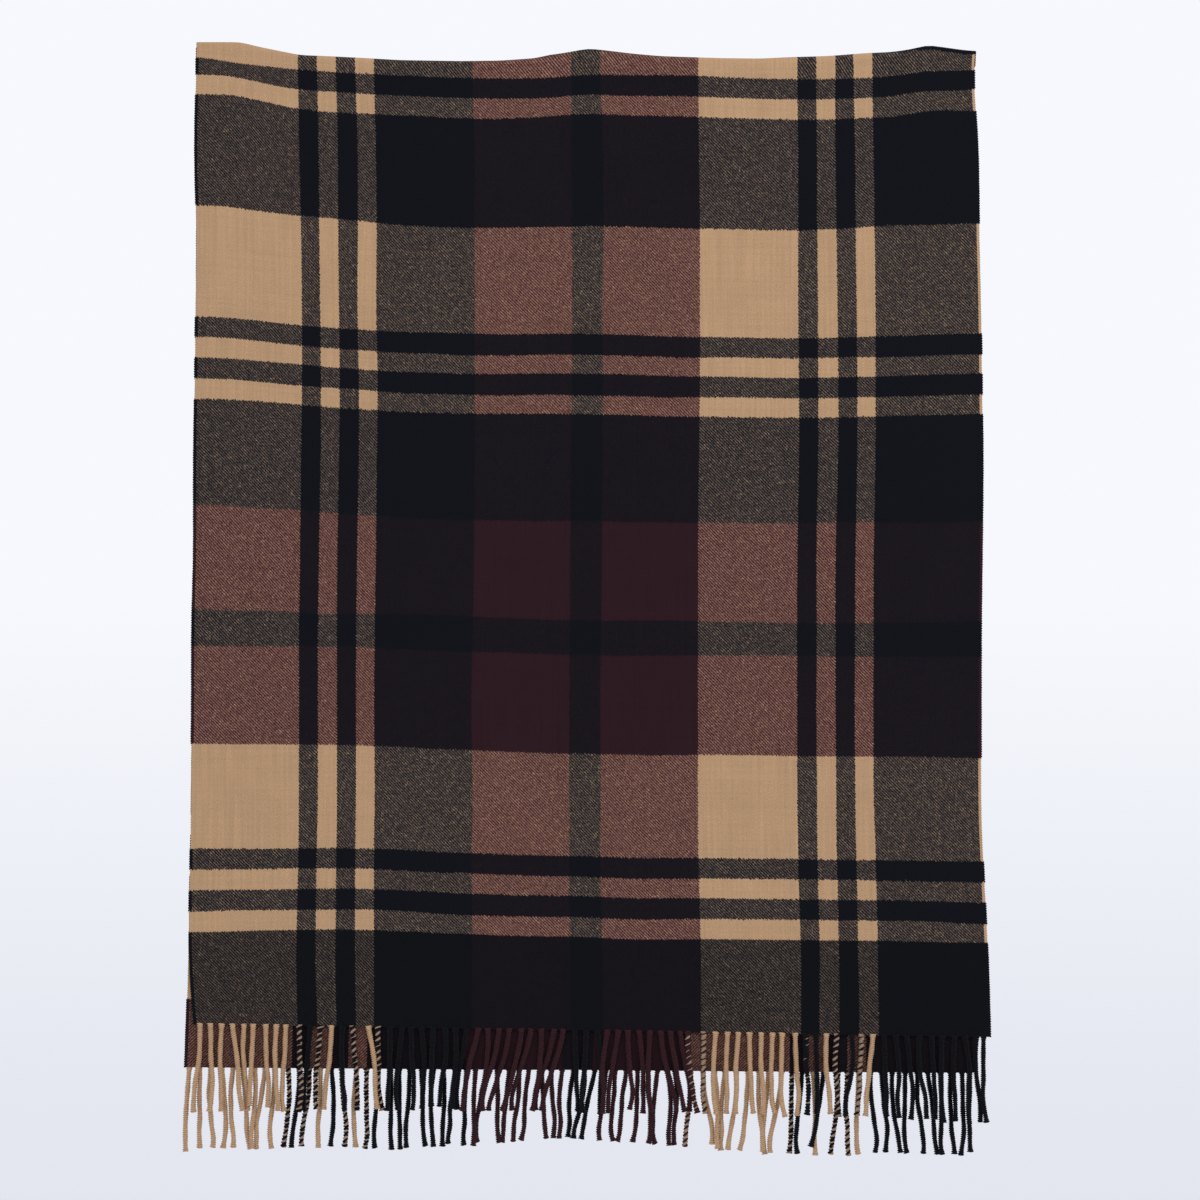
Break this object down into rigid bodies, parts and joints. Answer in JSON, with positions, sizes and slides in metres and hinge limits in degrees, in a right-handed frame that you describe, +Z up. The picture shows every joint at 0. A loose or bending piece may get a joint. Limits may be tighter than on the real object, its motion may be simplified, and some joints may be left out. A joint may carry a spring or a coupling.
{
  "type": "folded throw blanket",
  "caption": "Long plaid woven throw in camel, black and burgundy with twisted fringe, folded once across its width and hanging by the fold from clip grips.",
  "frame": {"origin": "on top of the fold at mid width, where the middle clip grips the folded cloth", "axes": "+Z up, against the way the cloth hangs; -Y out of the front layer, towards the viewer; +X to the viewer's right, along the fold"},
  "size_m": [0.718, 0.0092, 0.9925],
  "materials": {
    "plaid_front": "brushed twill, plaid",
    "plaid_back": "brushed twill, plaid",
    "plaid_fold": "brushed twill, plaid",
    "camel_yarn": "twisted brushed yarn",
    "black_yarn": "twisted brushed yarn",
    "burgundy_yarn": "twisted brushed yarn",
    "mixed_yarn": "two colours of brushed yarn twisted together"
  },
  "bodies": {
    "front_layer": {"front_panel": "plaid_front", "fold_strip": "plaid_fold"},
    "back_layer": {"back_panel": "plaid_back"},
    "front_fringe": {"front_tassels_camel": "camel_yarn", "front_tassels_black": "black_yarn", "front_tassels_burgundy": "burgundy_yarn", "front_tassels_mixed": "mixed_yarn"},
    "back_fringe": {"back_tassels_camel": "camel_yarn", "back_tassels_black": "black_yarn", "back_tassels_burgundy": "burgundy_yarn", "back_tassels_mixed": "mixed_yarn"}
  },
  "joints": [
    {"name": "fold", "type": "hinge", "parent": "front_layer", "child": "back_layer", "pos_m": [0, 0, -0.006], "axis": [1, 0, 0], "range_deg": [0, 179.5], "deforming": ["fold_strip"]},
    {"name": "front_fringe_swing", "type": "hinge", "parent": "front_layer", "child": "front_fringe", "pos_m": [0, -0.0025, -0.87491], "axis": [-0.9999, 0, 0.0164], "range_deg": [0, 90]},
    {"name": "back_fringe_swing", "type": "hinge", "parent": "back_layer", "child": "back_fringe", "pos_m": [0, 0.0025, -0.91049], "axis": [1, 0, -0.007], "range_deg": [0, 90]}
  ]
}
